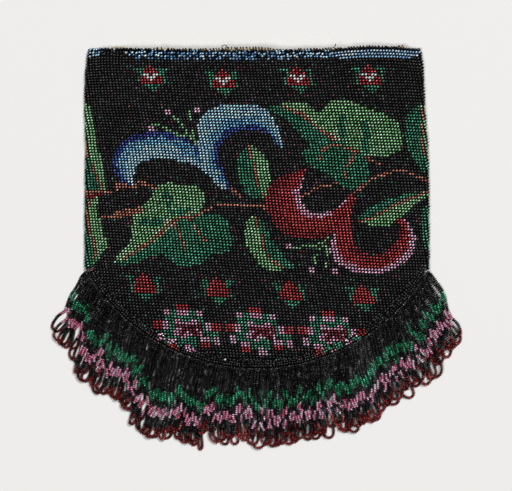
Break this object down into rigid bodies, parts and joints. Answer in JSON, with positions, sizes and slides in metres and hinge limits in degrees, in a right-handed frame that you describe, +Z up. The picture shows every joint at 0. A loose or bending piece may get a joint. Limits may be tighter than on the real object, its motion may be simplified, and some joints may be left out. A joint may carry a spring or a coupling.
{
  "type": "beadwork pouch",
  "caption": "Flat beadwork pouch with a round base, a swinging fringe of bead loops, a banded mouth that opens and a fabric lining.",
  "frame": {"origin": "on the underside of the back beadwork, where the pouch rests, 78.2 mm below the mouth edge and midway between the sides", "axes": "+Z up out of the front face, +Y towards the mouth, +X to the right seen from the front"},
  "size_m": [0.2052, 0.2007, 0.01],
  "materials": {
    "bead_ground": "glossy black glass beads with floral pattern beads of other colours",
    "blue_beads": "glossy blue glass beads",
    "fringe_beads": "glossy glass beads on thread, black, green, pink and dark red",
    "cotton_lining": "plain woven cream cotton, matte",
    "lining_tape": "folded cream cotton edge overcast with black thread"
  },
  "bodies": {
    "pouch_body": {"back_beadwork": "bead_ground", "back_mouth_band": "blue_beads", "back_lining": "cotton_lining", "back_lining_tape": "lining_tape", "left_side_fold": "bead_ground", "right_side_fold": "bead_ground", "front_base_beadwork": "bead_ground", "front_base_lining": "cotton_lining", "front_left_beadwork": "bead_ground", "front_left_mouth_band": "blue_beads", "front_left_lining": "cotton_lining", "front_left_lining_tape": "lining_tape", "front_right_beadwork": "bead_ground", "front_right_mouth_band": "blue_beads", "front_right_lining": "cotton_lining", "front_right_lining_tape": "lining_tape"},
    "front_flap": {"front_middle_beadwork": "bead_ground", "front_middle_mouth_band": "blue_beads", "front_middle_lining": "cotton_lining", "front_middle_lining_tape": "lining_tape"},
    "fan_01": {"fringe_fan_01": "fringe_beads"},
    "fan_02": {"fringe_fan_02": "fringe_beads"},
    "fan_03": {"fringe_fan_03": "fringe_beads"},
    "fan_04": {"fringe_fan_04": "fringe_beads"},
    "fan_05": {"fringe_fan_05": "fringe_beads"},
    "fan_06": {"fringe_fan_06": "fringe_beads"},
    "fan_07": {"fringe_fan_07": "fringe_beads"},
    "fan_08": {"fringe_fan_08": "fringe_beads"},
    "fan_09": {"fringe_fan_09": "fringe_beads"},
    "fan_10": {"fringe_fan_10": "fringe_beads"},
    "fan_11": {"fringe_fan_11": "fringe_beads"},
    "fan_12": {"fringe_fan_12": "fringe_beads"},
    "fan_13": {"fringe_fan_13": "fringe_beads"}
  },
  "joints": [
    {"name": "mouth_opening", "type": "hinge", "parent": "pouch_body", "child": "front_flap", "pos_m": [0, -0.0325, 0.0092], "axis": [1, 0, 0], "range_deg": [0, 12], "deforming": ["front_left_beadwork", "front_left_mouth_band", "front_left_lining", "front_left_lining_tape", "front_right_beadwork", "front_right_mouth_band", "front_right_lining", "front_right_lining_tape"]},
    {"name": "fringe_swing_01", "type": "hinge", "parent": "pouch_body", "child": "fan_01", "pos_m": [-0.08194, -0.03912, 0.0017], "axis": [-0.5673, 0.8235, 0], "range_deg": [-40, 40]},
    {"name": "fringe_swing_02", "type": "hinge", "parent": "pouch_body", "child": "fan_02", "pos_m": [-0.07181, -0.05155, 0.0017], "axis": [-0.6922, 0.7217, 0], "range_deg": [-40, 40]},
    {"name": "fringe_swing_03", "type": "hinge", "parent": "pouch_body", "child": "fan_03", "pos_m": [-0.05982, -0.06218, 0.0017], "axis": [-0.7991, 0.6012, 0], "range_deg": [-40, 40]},
    {"name": "fringe_swing_04", "type": "hinge", "parent": "pouch_body", "child": "fan_04", "pos_m": [-0.04628, -0.07076, 0.0017], "axis": [-0.8852, 0.4651, 0], "range_deg": [-40, 40]},
    {"name": "fringe_swing_05", "type": "hinge", "parent": "pouch_body", "child": "fan_05", "pos_m": [-0.03154, -0.07705, 0.0017], "axis": [-0.9484, 0.317, 0], "range_deg": [-40, 40]},
    {"name": "fringe_swing_06", "type": "hinge", "parent": "pouch_body", "child": "fan_06", "pos_m": [-0.01598, -0.08088, 0.0017], "axis": [-0.987, 0.1606, 0], "range_deg": [-40, 40]},
    {"name": "fringe_swing_07", "type": "hinge", "parent": "pouch_body", "child": "fan_07", "pos_m": [0, -0.08218, 0.0017], "axis": [-1, 0, 0], "range_deg": [-40, 40]},
    {"name": "fringe_swing_08", "type": "hinge", "parent": "pouch_body", "child": "fan_08", "pos_m": [0.01598, -0.08088, 0.0017], "axis": [-0.987, -0.1606, 0], "range_deg": [-40, 40]},
    {"name": "fringe_swing_09", "type": "hinge", "parent": "pouch_body", "child": "fan_09", "pos_m": [0.03154, -0.07705, 0.0017], "axis": [-0.9484, -0.317, 0], "range_deg": [-40, 40]},
    {"name": "fringe_swing_10", "type": "hinge", "parent": "pouch_body", "child": "fan_10", "pos_m": [0.04628, -0.07076, 0.0017], "axis": [-0.8852, -0.4651, 0], "range_deg": [-40, 40]},
    {"name": "fringe_swing_11", "type": "hinge", "parent": "pouch_body", "child": "fan_11", "pos_m": [0.05982, -0.06218, 0.0017], "axis": [-0.7991, -0.6012, 0], "range_deg": [-40, 40]},
    {"name": "fringe_swing_12", "type": "hinge", "parent": "pouch_body", "child": "fan_12", "pos_m": [0.07181, -0.05155, 0.0017], "axis": [-0.6922, -0.7217, 0], "range_deg": [-40, 40]},
    {"name": "fringe_swing_13", "type": "hinge", "parent": "pouch_body", "child": "fan_13", "pos_m": [0.08194, -0.03912, 0.0017], "axis": [-0.5673, -0.8235, 0], "range_deg": [-40, 40]}
  ]
}
